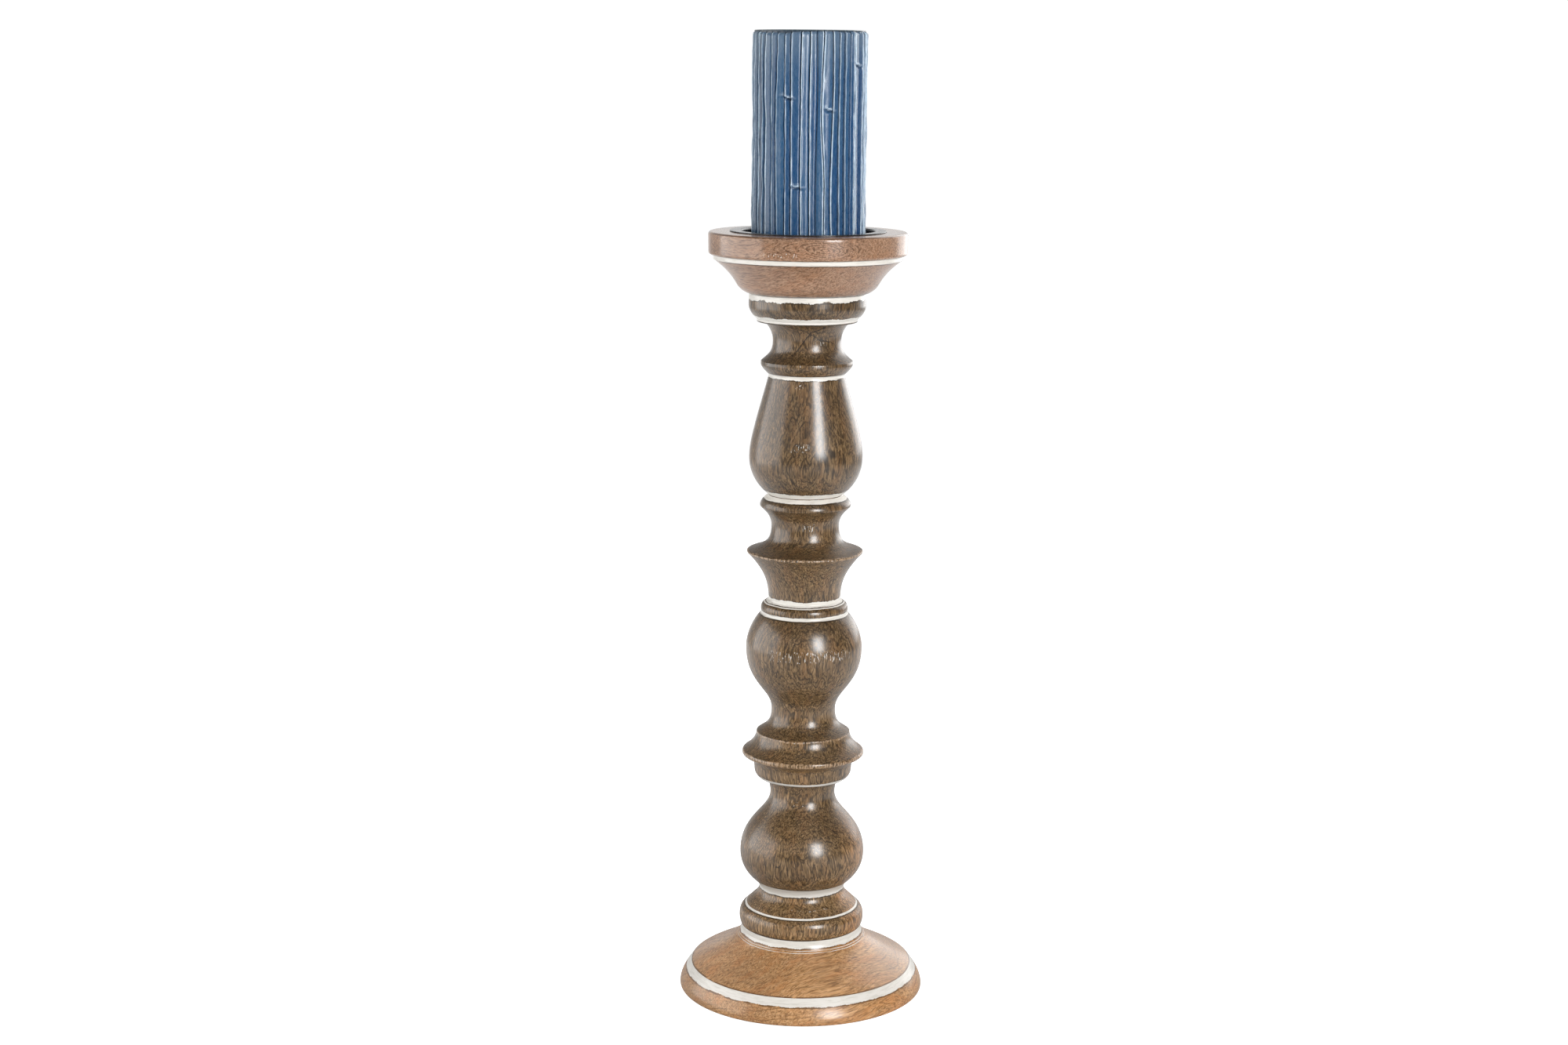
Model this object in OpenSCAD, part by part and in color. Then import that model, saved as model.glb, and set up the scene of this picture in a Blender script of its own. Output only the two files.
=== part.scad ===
// Turned wooden candlestick for a 70 mm pillar candle.
// Everything is turned about the Z axis. The origin is on the surface that the foot pads stand on.

/* [Base] */
// Diameter of the base at its widest
base_d = 153; // [150:0.5:156]
// Height of the wooden base, from its underside to the column's seat
base_h = 40.1; // [39:0.1:42]
// Radius of the base's neck, under the column
base_neck_r = 37.8; // [37:0.1:38.5]
// Height at which the rounded edge stops and the hollow upper slope begins
base_edge_h = 15.3; // [14:0.1:16.5]

/* [Column] */
// Height of the column between its two seats
column_h = 398.8; // [397:0.1:401]
// Widest radius of the bead at the foot
foot_bead_r = 39.1; // [38.5:0.1:40]
// Widest radius of the lower ball
ball_r = 38.85; // [37:0.05:40]
// Height of the lower ball's widest place above the column's seat
ball_z = 47.6; // [46:0.1:49]
// Radius of the rim of the disc above the lower ball
disc_r = 37.95; // [36.5:0.05:39.5]
// Height of the disc's rim above the column's seat
disc_z = 111.9; // [111.5:0.1:112.3]
// Widest radius of the vase in the middle
vase_r = 36; // [34:0.1:38]
// Height of the vase's widest place above the column's seat
vase_z = 179.2; // [177:0.1:181]
// Radius of the thin ridge above the vase
ridge_r = 35.85; // [34.5:0.05:37]
// Height of the ridge above the column's seat
ridge_z = 239.6; // [239:0.1:240.2]
// Widest radius of the bell
bell_r = 34.8; // [33:0.1:37]
// Height of the bell's widest place above the column's seat
bell_z = 298.5; // [296:0.1:301]
// Radius of the collar at the top
collar_r = 35.7; // [35:0.1:36.5]
// Radius of the narrowest necks
neck_r = 20.2; // [19:0.1:21]

/* [Joints] */
// Diameter of the column's bottom tenon
foot_tenon_d = 30; // [26:1:36]
// Length of the column's bottom tenon
foot_tenon_l = 20; // [16:0.5:22]
// Diameter of the column's top tenon
top_tenon_d = 28; // [24:1:32]
// Length of the column's top tenon
top_tenon_l = 12; // [9:0.5:14]
// Gap left for glue beyond the end of each tenon
glue_gap = 0.5; // [0.3:0.1:1]

/* [Cup] */
// Diameter of the cup's rim
cup_d = 120.6; // [118:0.2:124]
// Height of the cup
cup_h = 36.6; // [36:0.1:38]
// Radius of the narrow ring under the rim
cup_ring_r = 57.4; // [57:0.1:58]
// Height of the narrow ring's lower edge above the cup's underside
cup_ring_z = 20; // [19.5:0.1:20.5]
// Height of the rim's lower edge above the cup's underside
cup_rim_z = 22.6; // [22.3:0.1:23]

/* [Drip pan] */
// Thickness of the pressed steel
pan_t = 0.7; // [0.5:0.1:1]
// Outer diameter of the pan's flat lip
pan_lip_d = 94.6; // [90:0.2:100]
// Inner diameter of the pan's dish
pan_dish_d = 80.8; // [79:0.2:84]
// Depth of the candle's seat below the top of the wooden rim
pan_depth = 8.2; // [7:0.1:10]
// Length of the spike above the pan's floor
spike_l = 26; // [18:1:30]
// Diameter of the spike where it stands on the pan
spike_d = 5.5; // [4:0.5:6.5]

/* [Candle] */
// Diameter of the pillar candle
candle_d = 70; // [68:0.5:70.6]
// Height of the pillar candle
candle_h = 127; // [80:1:160]
// Depth of the hollow in the candle's top
candle_dish = 3.8; // [2:0.1:4]
// Diameter of the wick
wick_d = 2; // [1.5:0.1:3]

/* [Fasteners] */
// Diameter of the long screw that holds the base
base_screw_d = 6; // [5:0.5:8]
// Length of the long screw that holds the base, under its head
base_screw_l = 60; // [50:1:65]
// Diameter of the screw that holds the cup
cup_screw_d = 5; // [4:0.5:6]
// Length of the screw that holds the cup
cup_screw_l = 50; // [40:1:60]
// Diameter of the two small screws that hold the pan
pan_screw_d = 3.5; // [3:0.1:4]
// Length of the two small screws that hold the pan
pan_screw_l = 12; // [9:1:14]
// Distance of the small screws from the axis
pan_screw_r = 22; // [16:0.5:28]

/* [Feet] */
// Diameter of each felt pad
pad_d = 14; // [10:1:18]
// Thickness of each felt pad
pad_h = 1.5; // [1:0.1:3]
// Distance of the pads from the axis
pad_r = 60; // [50:1:64]
// Number of pads
pad_count = 4; // [3:1:6]

/* [Hidden] */
$fn = 96;

// Longest straight step along a turned outline
outline_step = 1.5;
// How far a cut runs past the face that it opens on
past = 1;

// Heights in the whole candlestick
column_z = pad_h + base_h;
cup_z = column_z + column_h;
cup_top = cup_z + cup_h;
seat_z = cup_top - pan_depth;

// The counterbore under the base, and what lies in it
washer_t = 1.6;
washer_d = 18;
counterbore_d = 22;
counterbore_h = 8.5;
hex_head_w = 10;
hex_head_h = 4;
screw_clearance = 0.4;

// The blunt tip of every screw, and how deep the cross-shaped recesses are
screw_tip_d = 0.2;
cup_screw_recess = 1.4;
pan_screw_recess = 0.9;

// The pan's wall, its recess in the cup, and the pocket for the spike's riveted tail
pan_corner_r = 4;
pan_mouth_r = 1.2;
recess_gap = 0.1;
recess_r = pan_dish_d / 2 + pan_t + recess_gap;
rivet_d = 4;
rivet_neck_d = 6.4;
rivet_head_d = 8;
rivet_head_h = 1.2;
pocket_d = 14;
pocket_h = 2;

// The hole in the candle's underside clears the spike by this much all round
spike_gap = 0.6;
spike_shoulder_h = 4;
spike_point_d = 0.8;

// The candle's rounded edges, its flat rim and the round in its hollow
candle_r = candle_d / 2;
candle_edge = 0.8;
candle_rim = 2.2;
dish_round = 3;

// The wick's lower end above the candle's seat, and how far its tip stays below the candle's rim
wick_foot = spike_l + 5;
wick_drop = 0.8;

// A point at the fraction t of a cubic curve with the ends a and d and the handles b and c
function cubic(a, b, c, d, t) =
    pow(1 - t, 3) * a + 3 * t * pow(1 - t, 2) * b + 3 * t * t * (1 - t) * c + pow(t, 3) * d;

// A curve of [radius, height] points that leaves a along the vector out and reaches d along the
// vector in. The point d itself is left to the next stretch.
function curve(a, out, d, in) =
    let (n = max(4, ceil(norm(d - a) / outline_step)))
    [for (i = [0 : n - 1]) cubic(a, a + out, d - in, d, i / n)];

// An arc about the centre c with the radius r, from the angle a0 to a1, with both its ends
function arc(c, r, a0, a1, n = 8) =
    [for (i = [0 : n]) c + r * [cos(a0 + (a1 - a0) * i / n), sin(a0 + (a1 - a0) * i / n)]];

// The base: a rounded edge, a crisp corner, a hollow slope with two scribed lines, and the neck
base_r = base_d / 2;
base_corner = [base_r - 7.2, base_edge_h];
slope_foot = [base_r - 7.8, base_edge_h + 0.4];
slope_head = [base_neck_r + 0.2, 36.8];
slope = curve(slope_foot, [-5.6, 4], slope_head, [-2.6, 9]);
scribe_depth = 0.35;
scribe_w = 0.5;
lower_scribe_z = 33.1;
upper_scribe_z = 34.2;

// The slope's radius at a height, and its points between two heights
function slope_r(z) = lookup(z, [for (p = slope) [p[1], p[0]]]);
function slope_between(z0, z1) = [for (p = slope) if (p[1] > z0 && p[1] < z1) p];

// A scribed line: a narrow groove in the slope
function scribe(z) = [
    [slope_r(z - scribe_w / 2), z - scribe_w / 2],
    [slope_r(z) - scribe_depth, z],
    [slope_r(z + scribe_w / 2), z + scribe_w / 2]
];

function base_outline() = concat(
    [[0, 0]],
    curve([base_r - 0.7, 0], [0.4, 0], [base_r, 1.2], [0, 0.6]),
    curve([base_r, 1.2], [0, 4.6], base_corner, [-3.4, 4.2]),
    [base_corner],
    slope_between(0, lower_scribe_z - scribe_w),
    scribe(lower_scribe_z),
    scribe(upper_scribe_z),
    slope_between(upper_scribe_z + scribe_w, base_h),
    [slope_head, [base_neck_r, 37.2], [base_neck_r, base_h], [0, base_h]]
);

// The column's turned members, from its seat on the base upwards. Heights are above that seat.
foot_bead = concat(
    curve([base_neck_r, 0], [0.7, 1.4], [foot_bead_r, 5.5], [0, 2.4]),
    curve([foot_bead_r, 5.5], [0, 4.4], [35.9, 12.6], [-1.6, 1.5])
);
foot_cone = concat(
    [[35.9, 12.6]],
    curve([35.2, 12.8], [-1, 1.4], [31, 17.1], [-1.3, 1.2]),
    curve([31, 17.1], [-2, 1.8], [26.7, 24.2], [0, 3])
);
lower_ball = concat(
    curve([26.7, 24.2], [0, 2.2], [30.6, 30.2], [2.2, 1.9]),
    curve([30.6, 30.2], [4.4, 3.9], [ball_r, ball_z], [0, 8]),
    curve([ball_r, ball_z], [0, 21], [neck_r, 86.2], [0, 12.6])
);
ring_under_disc = concat(
    curve([neck_r, 86.2], [0, 3.6], [22.9, 95.9], [1.3, 2]),
    [[22.9, 95.9]],
    curve([27, 95.8], [1.4, 0.6], [30.3, 101], [0, 2.2]),
    curve([30.3, 101], [0.1, 1.4], [30.7, 105], [0.2, 1.3])
);
disc = concat(
    curve([30.7, 105], [0.5, 2.6], [disc_r - 1.4, disc_z - 1.7], [2.4, 1.2]),
    curve([disc_r - 1.4, disc_z - 1.7], [1, 0.3], [disc_r, disc_z], [0, 0.9]),
    curve([disc_r, disc_z], [0, 0.9], [disc_r - 0.9, disc_z + 1.8], [-0.6, 0.4]),
    curve([disc_r - 0.9, disc_z + 1.8], [-2.2, 1.4], [29.3, 123.5], [-1.2, 5]),
    [[29.3, 123.5]]
);
disc_cap = concat(
    curve([29.1, 125], [-0.1, 0.4], [28.7, 125.5], [-0.4, 0.2]),
    curve([28.7, 125.5], [-4.6, 3.2], [neck_r - 0.3, 139.6], [0, 9.5])
);
vase = concat(
    curve([neck_r - 0.3, 139.6], [0, 12.8], [vase_r, vase_z], [0, 23.2]),
    curve([vase_r, vase_z], [0, 8.6], [27.2, 200.7], [-4, 4])
);
vase_bead = concat(
    [[27.2, 200.7], [26.8, 200.9], [26.7, 202.4]],
    curve([26.9, 202.6], [0.1, 0.6], [27, 204.2], [0, 0.6]),
    curve([27, 204.2], [0, 2.6], [23.3, 208.7], [-1.8, 1.3]),
    [[23.3, 208.7]]
);
flare = concat(
    curve([22.3, 209], [-0.1, 7.5], [25.8, 225.8], [2, 3.9]),
    curve([25.8, 225.8], [3, 5.8], [ridge_r - 0.5, ridge_z - 1], [1.8, 1.7]),
    curve([ridge_r - 0.5, ridge_z - 1], [0.4, 0.3], [ridge_r, ridge_z], [0, 0.3]),
    curve([ridge_r, ridge_z], [0, 0.3], [ridge_r - 0.9, ridge_z + 0.8], [-0.6, 0.2]),
    curve([ridge_r - 0.9, ridge_z + 0.8], [-7, 2.1], [22.9, 246.8], [-1.6, 2.3]),
    curve([22.9, 246.8], [-1.4, 1.9], [20.8, 255.6], [0, 3.6])
);
bell_bead = concat(
    curve([20.8, 255.6], [0, 6.2], [27.2, 267.2], [2.2, 2]),
    curve([27.2, 267.2], [0.6, 0.5], [27.95, 268.5], [0, 0.5]),
    curve([27.95, 268.5], [0, 2.6], [22.9, 274.7], [-2.4, 1.4]),
    [[22.9, 274.7]]
);
bell = concat(
    curve([22.7, 275.2], [4.2, 2.9], [32.4, 286.9], [2.1, 4.6]),
    curve([32.4, 286.9], [1.7, 3.8], [bell_r, bell_z], [0, 4]),
    curve([bell_r, bell_z], [0, 6.5], [31, 319.9], [-2, 7.6]),
    curve([31.05, 319.9], [-2.4, 9.2], [23.3, 348.4], [-2.2, 8.6])
);
upper_bead = concat(
    [[23.3, 348.4]],
    curve([23.1, 348.9], [2.3, 2.4], [28.1, 355.5], [0.1, 2]),
    curve([28.1, 355.5], [0, 0.5], [28, 357.2], [0, 0.5]),
    curve([28, 357.2], [-4.2, 3.6], [neck_r + 0.7, 369.4], [0, 6.8]),
    curve([neck_r + 0.7, 369.4], [0, 4.4], [26, 380.8], [3.4, 3.2])
);
collar = concat(
    [[26, 380.8], [30.4, 381.1], [30.7, 381.4]],
    curve([30.9, 383], [1.4, 1], [collar_r, 391.4], [0, 4]),
    [[collar_r, 391.4], [collar_r, column_h - 3.4]],
    arc([collar_r - 0.8, column_h - 1], 0.8, 0, 90, 4)
);

function column_outline() = concat(
    [[0, -foot_tenon_l], [foot_tenon_d / 2 - 1, -foot_tenon_l]],
    [[foot_tenon_d / 2, 1 - foot_tenon_l], [foot_tenon_d / 2, 0]],
    foot_bead, foot_cone, lower_ball, ring_under_disc, disc, disc_cap, vase, vase_bead, flare,
    bell_bead, bell, upper_bead, collar,
    [[collar_r - 1.2, column_h], [top_tenon_d / 2, column_h]],
    [[top_tenon_d / 2, column_h + top_tenon_l - 1], [top_tenon_d / 2 - 1, column_h + top_tenon_l]],
    [[0, column_h + top_tenon_l]]
);

// The cup: a rounded foot that sweeps out to the narrow ring, then the upright rim
cup_r = cup_d / 2;
cup_foot_r = 37;
cup_rim_round = 1.8;

function cup_outline() = concat(
    [[0, 0], [cup_foot_r, 0]],
    curve([cup_foot_r, 0], [3.2, 1.1], [43.1, 5], [1, 1.7]),
    curve([43.1, 5], [1.9, 3.2], [cup_ring_r - 0.5, cup_ring_z - 0.2], [9, 6.5]),
    [[cup_ring_r - 0.5, cup_ring_z - 0.2], [cup_ring_r, cup_ring_z], [cup_ring_r, cup_rim_z - 0.3]],
    curve([cup_ring_r + 0.6, cup_rim_z], [1.5, 0.2], [cup_r, cup_rim_z + 2.2], [0, 1.2]),
    arc([cup_r - cup_rim_round, cup_h - cup_rim_round], cup_rim_round, 0, 90),
    [[0, cup_h]]
);

// The pressed pan: a flat lip on the wooden rim, a rounded mouth, an upright wall and a flat floor
pan_r = pan_dish_d / 2;
pan_lip_r = pan_lip_d / 2;

function pan_outline() = concat(
    [[0, -pan_depth - pan_t]],
    arc([pan_r - pan_corner_r, pan_corner_r - pan_depth], pan_corner_r + pan_t, -90, 0),
    [[pan_r + pan_t, 0], [pan_lip_r - pan_t / 2, 0]],
    arc([pan_lip_r - pan_t / 2, pan_t / 2], pan_t / 2, -90, 90),
    arc([pan_r + pan_mouth_r, pan_t - pan_mouth_r], pan_mouth_r, 90, 180, 6),
    arc([pan_r - pan_corner_r, pan_corner_r - pan_depth], pan_corner_r, 0, -90),
    [[0, -pan_depth]]
);

// A solid turned from an outline of [radius, height] points
module turned(outline) {
    rotate_extrude()
        polygon(outline);
}

// A wood screw's shank, from the origin up to its point
module shank(d, l) {
    cylinder(h = l - d, d = d);
    translate([0, 0, l - d])
        cylinder(h = d, d1 = d, d2 = screw_tip_d);
}

// A countersunk screw that points down, with its flat head level with the origin
module countersunk_screw(d, l) {
    mirror([0, 0, 1]) {
        cylinder(h = d / 2, d1 = 2 * d, d2 = d);
        translate([0, 0, d / 2])
            shank(d, l - d / 2);
    }
}

// The cross-shaped recess for a screwdriver, cut down into the origin
module cross_recess(w, h) {
    for (a = [0, 90])
        rotate([0, 0, a])
            translate([-w / 2, -w / 10, -h])
                cube([w, w / 5, h + past]);
}

// Places its children at the two small screws in the pan's floor
module at_pan_screws() {
    for (side = [-1, 1])
        translate([side * pan_screw_r, 0, seat_z])
            children();
}

// Places its children at the top of the cup screw's head, in the pocket under the pan
module at_cup_screw() {
    translate([0, 0, seat_z - pan_t - pocket_h])
        children();
}

// Places its children where the long screw's shank starts, on the washer under the base
module at_base_screw() {
    translate([0, 0, pad_h + counterbore_h - washer_t])
        children();
}

// The spike's outline, larger all round by gap
module spike_shape(gap) {
    cylinder(h = spike_shoulder_h, d = spike_d + 2 * gap);
    translate([0, 0, spike_shoulder_h])
        cylinder(h = spike_l - spike_shoulder_h + gap, d1 = spike_d + 2 * gap, d2 = spike_point_d + 2 * gap);
}

// The turned base, with the socket for the column above and the counterbore for the screw below
module base() {
    color("#b98757")
        translate([0, 0, pad_h])
            difference() {
                turned(base_outline());
                translate([0, 0, base_h - foot_tenon_l - glue_gap])
                    cylinder(h = foot_tenon_l + glue_gap + past, d = foot_tenon_d);
                translate([0, 0, -past])
                    cylinder(h = counterbore_h + past, d = counterbore_d);
                cylinder(h = base_h, d = base_screw_d + screw_clearance);
            }
}

// The column, one turned length of wood with a tenon at each end
module column() {
    color("#7b6550")
        difference() {
            translate([0, 0, column_z])
                turned(column_outline());
            at_base_screw()
                shank(base_screw_d, base_screw_l);
            at_cup_screw()
                countersunk_screw(cup_screw_d, cup_screw_l);
        }
}

// The cup, with the recess for the pan above and the socket for the column below
module cup() {
    color("#a97b5c")
        difference() {
            translate([0, 0, cup_z])
                turned(cup_outline());
            translate([0, 0, seat_z - pan_t])
                cylinder(h = pan_depth + pan_t + past, r = recess_r);
            at_cup_screw()
                cylinder(h = pocket_h + past, d = pocket_d);
            at_cup_screw()
                countersunk_screw(cup_screw_d, cup_screw_l);
            at_pan_screws()
                countersunk_screw(pan_screw_d, pan_screw_l);
            translate([0, 0, cup_z - past])
                cylinder(h = top_tenon_l + glue_gap + past, d = top_tenon_d);
        }
}

// The pressed steel pan that catches the wax
module drip_pan() {
    color("#2b2b2e")
        difference() {
            translate([0, 0, cup_top])
                turned(pan_outline());
            translate([0, 0, seat_z - pan_t - past])
                cylinder(h = pan_t + 2 * past, d = rivet_d);
            at_pan_screws()
                countersunk_screw(pan_screw_d, pan_screw_l);
        }
}

// The spike, with the tail that is riveted over under the pan's floor
module spike() {
    color("#8d8f92")
        translate([0, 0, seat_z]) {
            spike_shape(0);
            translate([0, 0, -pan_t])
                cylinder(h = pan_t, d = rivet_d);
            translate([0, 0, -pan_t - rivet_head_h])
                cylinder(h = rivet_head_h, d1 = rivet_neck_d, d2 = rivet_head_d);
        }
}

// The two small screws that hold the pan
module pan_screws() {
    color("#a4a6a8")
        at_pan_screws()
            difference() {
                countersunk_screw(pan_screw_d, pan_screw_l);
                cross_recess(pan_screw_d, pan_screw_recess);
            }
}

// The screw that pulls the cup down on the column
module cup_screw() {
    color("#a4a6a8")
        at_cup_screw()
            difference() {
                countersunk_screw(cup_screw_d, cup_screw_l);
                cross_recess(cup_screw_d, cup_screw_recess);
            }
}

// The long hexagon-headed screw that pulls the base up against the column
module base_screw() {
    color("#a4a6a8")
        at_base_screw() {
            shank(base_screw_d, base_screw_l);
            translate([0, 0, -hex_head_h])
                cylinder(h = hex_head_h, d = hex_head_w / cos(30), $fn = 6);
        }
}

// The washer between the long screw's head and the wood
module base_washer() {
    color("#b4b6b8")
        at_base_screw()
            difference() {
                cylinder(h = washer_t, d = washer_d);
                translate([0, 0, -past])
                    cylinder(h = washer_t + 2 * past, d = base_screw_d + screw_clearance);
            }
}

// The felt pads under the base
module foot_pads() {
    color("#3a3632")
        for (i = [0 : pad_count - 1])
            rotate([0, 0, 360 * (i + 0.5) / pad_count])
                translate([pad_r, 0, 0])
                    cylinder(h = pad_h, d = pad_d);
}

// The candle: two rounded edges, a flat rim, and the hollow in its top
function candle_outline() = concat(
    [[0, 0], [candle_r - candle_edge, 0]],
    arc([candle_r - candle_edge, candle_edge], candle_edge, -90, 0, 4),
    arc([candle_r - candle_edge, candle_h - candle_edge], candle_edge, 0, 90, 4),
    [[candle_r - candle_rim, candle_h]],
    arc([candle_r - candle_rim - dish_round, candle_h - candle_dish + dish_round], dish_round, 0, -90),
    [[0, candle_h - candle_dish]]
);

// The pillar candle, with a hole in its underside for the spike and a bore for the wick
module candle_wax() {
    color("#4f719c")
        translate([0, 0, seat_z])
            difference() {
                turned(candle_outline());
                spike_shape(spike_gap);
                translate([0, 0, wick_foot])
                    cylinder(h = candle_h, d = wick_d);
            }
}

// The wick, cast into the wax from above the spike up to just under the candle's rim
module wick() {
    color("#e8e2d2")
        translate([0, 0, seat_z + wick_foot])
            cylinder(h = candle_h - wick_foot - wick_drop, d = wick_d);
}

base();
column();
cup();
drip_pan();
spike();
pan_screws();
cup_screw();
base_screw();
base_washer();
foot_pads();
candle_wax();
wick();
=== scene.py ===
import random
from math import ceil, cos, hypot, pi, radians, sin

import bpy
import numpy as np
from mathutils import Matrix, Vector, noise


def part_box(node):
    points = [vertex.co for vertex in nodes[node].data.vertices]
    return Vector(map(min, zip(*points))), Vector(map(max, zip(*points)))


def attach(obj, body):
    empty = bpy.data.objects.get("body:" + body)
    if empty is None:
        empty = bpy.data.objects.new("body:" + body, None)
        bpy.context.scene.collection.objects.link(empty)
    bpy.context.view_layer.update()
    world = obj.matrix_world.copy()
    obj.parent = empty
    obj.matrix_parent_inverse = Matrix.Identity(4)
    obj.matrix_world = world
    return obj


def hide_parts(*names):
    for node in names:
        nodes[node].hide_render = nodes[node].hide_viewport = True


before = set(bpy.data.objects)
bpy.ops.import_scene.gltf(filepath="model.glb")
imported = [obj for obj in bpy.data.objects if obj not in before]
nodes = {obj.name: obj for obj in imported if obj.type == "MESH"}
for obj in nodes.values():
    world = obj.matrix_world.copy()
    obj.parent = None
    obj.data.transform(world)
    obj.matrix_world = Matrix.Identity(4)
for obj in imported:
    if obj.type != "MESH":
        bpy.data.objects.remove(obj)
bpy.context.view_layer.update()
MM = 0.001
BORES = 17  # mm: tenons, sockets and pilot holes lie within this radius, and stay exactly round


# ---- Turned pieces, rebuilt finely from the CAD nodes' own outlines ----

FEWEST_POINTS, WIDEST_GAP = 12, 0.6  # a whole ring has more points than this, and smaller gaps, in radians
LONG_SPAN = 2.5  # mm: a longer span is straight, so the curve beside it leaves in its direction
CUT_SHARE = 0.3  # how much of a span a rounded corner may take away
CORNER_SHARE = 0.35  # how far the middle of a rounded corner keeps back from the sharp one


def outline_of(node, snap=0.03):
    """The turned outline of a CAD node as [radius, height] points in mm, and whether it is closed."""
    mesh = node.data
    xyz = np.array([v.co for v in mesh.vertices]) / MM
    flat = np.column_stack([np.hypot(xyz[:, 0], xyz[:, 1]), xyz[:, 2]])
    unique, where = np.unique(np.round(flat, 2), axis=0, return_inverse=True)
    where = where.ravel()
    rings, owner = np.empty((0, 2)), np.zeros(len(unique), int)
    for i, point in enumerate(unique):
        gaps = np.hypot(*(rings - point).T)
        if len(rings) and gaps.min() < snap:
            owner[i] = gaps.argmin()
        else:
            owner[i] = len(rings)
            rings = np.vstack([rings, point])
    ring_of = owner[where]
    turn = np.arctan2(xyz[:, 1], xyz[:, 0])
    whole = set()
    for k in range(len(rings)):
        around = np.sort(turn[ring_of == k])
        gaps = np.diff(np.append(around, around[0] + 2 * pi))
        if len(around) > FEWEST_POINTS and gaps.max() < WIDEST_GAP:
            whole.add(k)
    meets = {k: set() for k in whole}
    for edge in mesh.edges:
        a, b = ring_of[edge.vertices[0]], ring_of[edge.vertices[1]]
        if a != b and a in whole and b in whole:
            meets[a].add(b)
            meets[b].add(a)
    ends = [k for k in whole if len(meets[k]) == 1]
    path = [min(ends, key=lambda k: rings[k][1]) if ends else max(whole, key=lambda k: rings[k][0])]
    while True:
        onward = [k for k in meets[path[-1]] if k not in path]
        if not onward:
            break
        path.append(min(onward, key=lambda k: hypot(*(rings[k] - rings[path[-1]]))))
    points = rings[path]
    r, z = points.T
    if np.sum(r * np.roll(z, -1) - np.roll(r, -1) * z) < 0:
        points = points[::-1]
    return points, not ends


def soften(points, closed, step, edge=0.25, corner=radians(24)):
    """The outline with its smooth stretches as curves and its sharp corners rounded over a little."""
    n = len(points)
    last = n if closed else n - 1
    spans = [points[(i + 1) % n] - points[i] for i in range(last)]
    lengths = [max(hypot(*s), 1e-6) for s in spans]
    ways = [s / l for s, l in zip(spans, lengths)]

    def tangents(i):
        """The directions in which the outline reaches and leaves point i."""
        if not closed and i in (0, n - 1):
            way = ways[0] if i == 0 else ways[-1]
            return way, way, False
        a, b = ways[i - 1], ways[i % last]
        la, lb = lengths[i - 1], lengths[i % last]
        turn = abs(np.arctan2(a[0] * b[1] - a[1] * b[0], a @ b))
        if turn > corner:
            return a, b, True
        if max(la, lb) > LONG_SPAN:
            way = a if la > lb else b
        else:
            way = a / la + b / lb
        way = way / hypot(*way)
        return way, way, False

    out = []
    for i in range(last):
        j = (i + 1) % n
        _, start, start_corner = tangents(i)
        end, _, end_corner = tangents(j)
        p, q, l = points[i], points[j], lengths[i]
        cut = min(edge, l * CUT_SHARE)
        if start_corner:
            cut_before = min(edge, lengths[i - 1] * CUT_SHARE)
            out.append(p - ways[i - 1] * cut_before * CORNER_SHARE + ways[i] * cut * CORNER_SHARE)
        low, high = (cut / l if start_corner else 0.0), (1 - cut / l if end_corner else 1.0)
        count = max(1, ceil(l * (high - low) / step))
        for k in range(count + (1 if end_corner else 0)):
            t = low + (high - low) * k / count
            a, b = 2 * t**3 - 3 * t**2 + 1, -2 * t**3 + 3 * t**2
            c, d = t**3 - 2 * t**2 + t, t**3 - t**2
            out.append(a * p + b * q + (c * start + d * end) * l)
    if not closed:
        out.append(points[-1])
    return np.array(out)


def ripple(point, size):
    """A smooth value from 0 to 1 that varies over about size mm."""
    return 0.5 + 0.5 * noise.noise(Vector(point) / size)


def add_mesh(name, points, faces, material, body, replaced):
    """A smooth mesh piece from points in mm, riding on a body."""
    mesh = bpy.data.meshes.new(name)
    mesh.from_pydata((np.asarray(points) * MM).tolist(), [], faces)
    mesh.polygons.foreach_set("use_smooth", [True] * len(mesh.polygons))
    mesh.materials.append(material)
    piece = bpy.data.objects.new(name, mesh)
    bpy.context.scene.collection.objects.link(piece)
    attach(piece, body)
    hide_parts(*replaced)
    return piece


def turned(name, node_name, material, step, segments=128, wobble=0.1):
    """A turned piece that stands for a CAD node, with the slight unevenness of hand sanding."""
    outline, closed = outline_of(nodes[node_name])
    limit = outline[:, 0].max()
    outline = soften(outline, closed, step)
    count = len(outline)
    points = []
    for r, z in outline:
        for k in range(segments):
            a = 2 * pi * k / segments
            x, y = r * cos(a), r * sin(a)
            inward = 0.0
            if r > BORES:
                inward = wobble * ripple((x, y, z), 22) + 0.3 * wobble * ripple((x, y, z + 400), 5)
            share = (min(r, limit) - inward) / r
            points.append((x * share, y * share, z))
    faces = []
    for i in range(count if closed else count - 1):
        a, b = i * segments, (i + 1) % count * segments
        for k in range(segments):
            m = (k + 1) % segments
            faces.append((a + k, a + m, b + m, b + k))
    if not closed:
        for start, flip in ((0, True), ((count - 1) * segments, False)):
            rim = list(range(start, start + segments))
            faces.append(tuple(reversed(rim)) if flip else tuple(rim))
    add_mesh(name, points, faces, material, "stand", [node_name])


# ---- Procedural materials ----

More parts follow.
